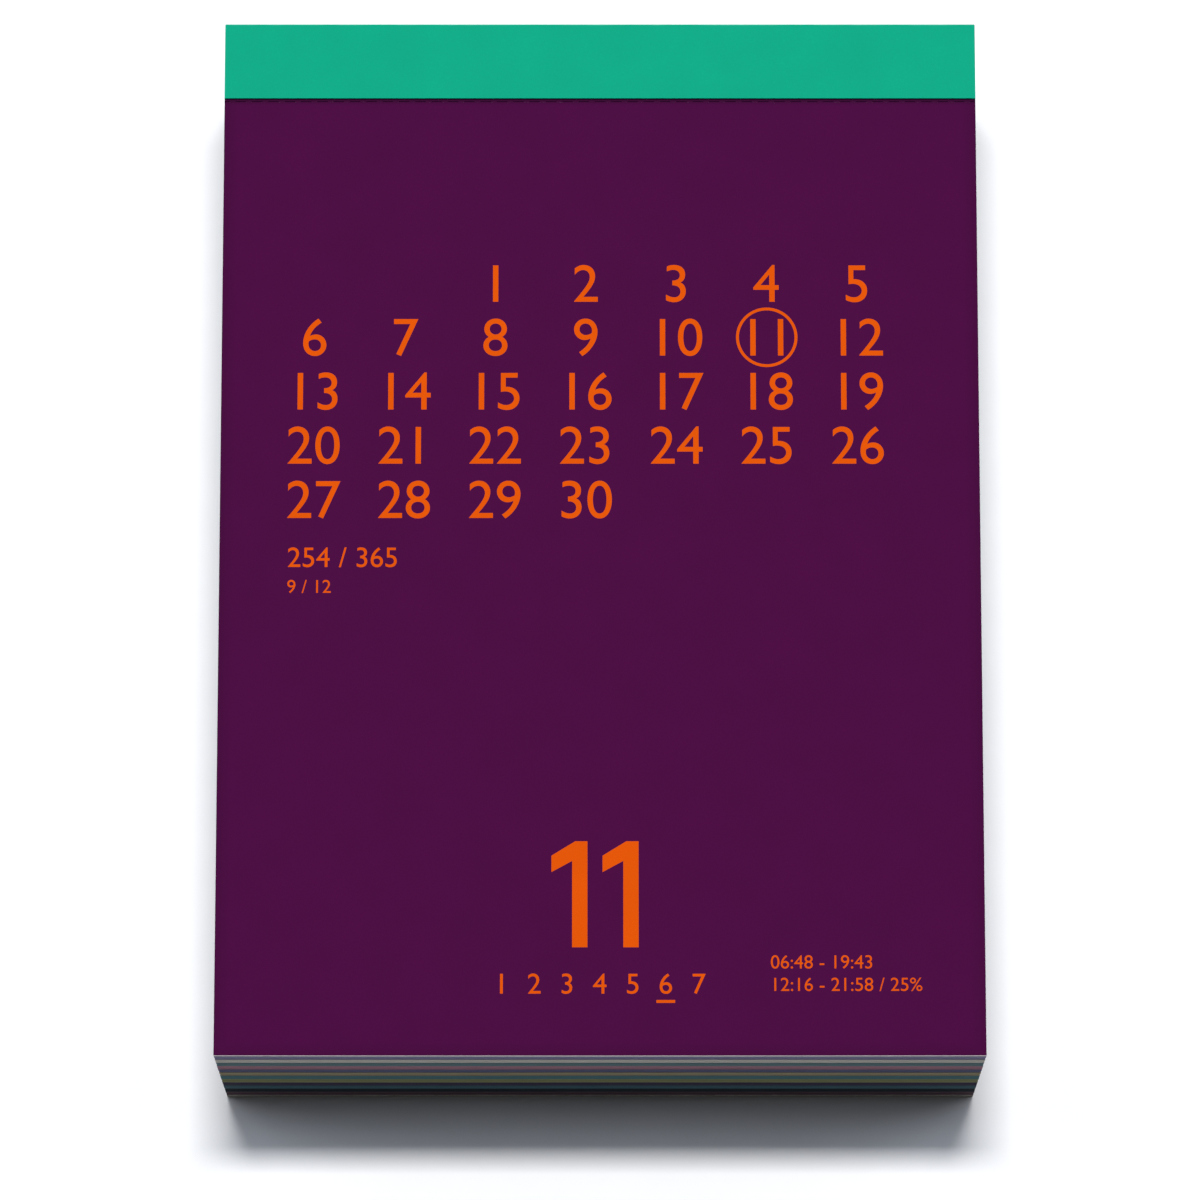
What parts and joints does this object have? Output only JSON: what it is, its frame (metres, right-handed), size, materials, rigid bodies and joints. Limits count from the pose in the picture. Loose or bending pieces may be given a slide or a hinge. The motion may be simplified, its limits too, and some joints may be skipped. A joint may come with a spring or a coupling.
{
  "type": "tear-off day calendar",
  "caption": "Thick block of dated sheets glued at the head to a grey board under a folded card strip; the front sheet lifts and tears off along its perforation.",
  "frame": {"origin": "centre of the back face, on which the calendar lies", "axes": "+X to the right across the page, +Y to the head of the page, +Z out of the page towards the reader"},
  "size_m": [0.115, 0.16, 0.0408],
  "materials": {
    "grey_board": "uncoated grey board with flecks",
    "january_paper": "uncoated paper printed to its edge",
    "february_paper": "uncoated paper printed to its edge",
    "march_paper": "uncoated paper printed to its edge",
    "april_paper": "uncoated paper printed to its edge",
    "may_paper": "uncoated paper printed to its edge",
    "june_paper": "uncoated paper printed to its edge",
    "july_paper": "uncoated paper printed to its edge",
    "august_paper": "uncoated paper printed to its edge",
    "september_paper": "uncoated paper printed to its edge",
    "october_paper": "uncoated paper printed to its edge",
    "november_paper": "uncoated paper printed to its edge",
    "december_paper": "uncoated paper printed to its edge",
    "day_sheet_paper": "uncoated paper with a flat dark violet print",
    "head_glue": "dried flexible glue",
    "strip_card": "smooth green card"
  },
  "bodies": {
    "block": {"back_board": "grey_board", "january_sheets": "january_paper", "february_sheets": "february_paper", "march_sheets": "march_paper", "april_sheets": "april_paper", "may_sheets": "may_paper", "june_sheets": "june_paper", "july_sheets": "july_paper", "august_sheets": "august_paper", "september_sheets": "september_paper", "october_sheets": "october_paper", "november_sheets": "november_paper", "december_sheets": "december_paper", "day_sheet_stub": "day_sheet_paper", "head_glue": "head_glue", "head_strip": "strip_card"},
    "tear_line": {"perforation_ties": "day_sheet_paper"},
    "day_leaf": {"day_sheet_leaf": "day_sheet_paper"}
  },
  "joints": [
    {"name": "sheet_lift", "type": "hinge", "parent": "block", "child": "tear_line", "pos_m": [0, 0.06775, 0.04043], "axis": [-1, 0, 0], "range_deg": [0, 120]},
    {"name": "sheet_tear_off", "type": "slide", "parent": "tear_line", "child": "day_leaf", "axis": [0, -1, 0], "range_m": [0, 0.155]}
  ]
}
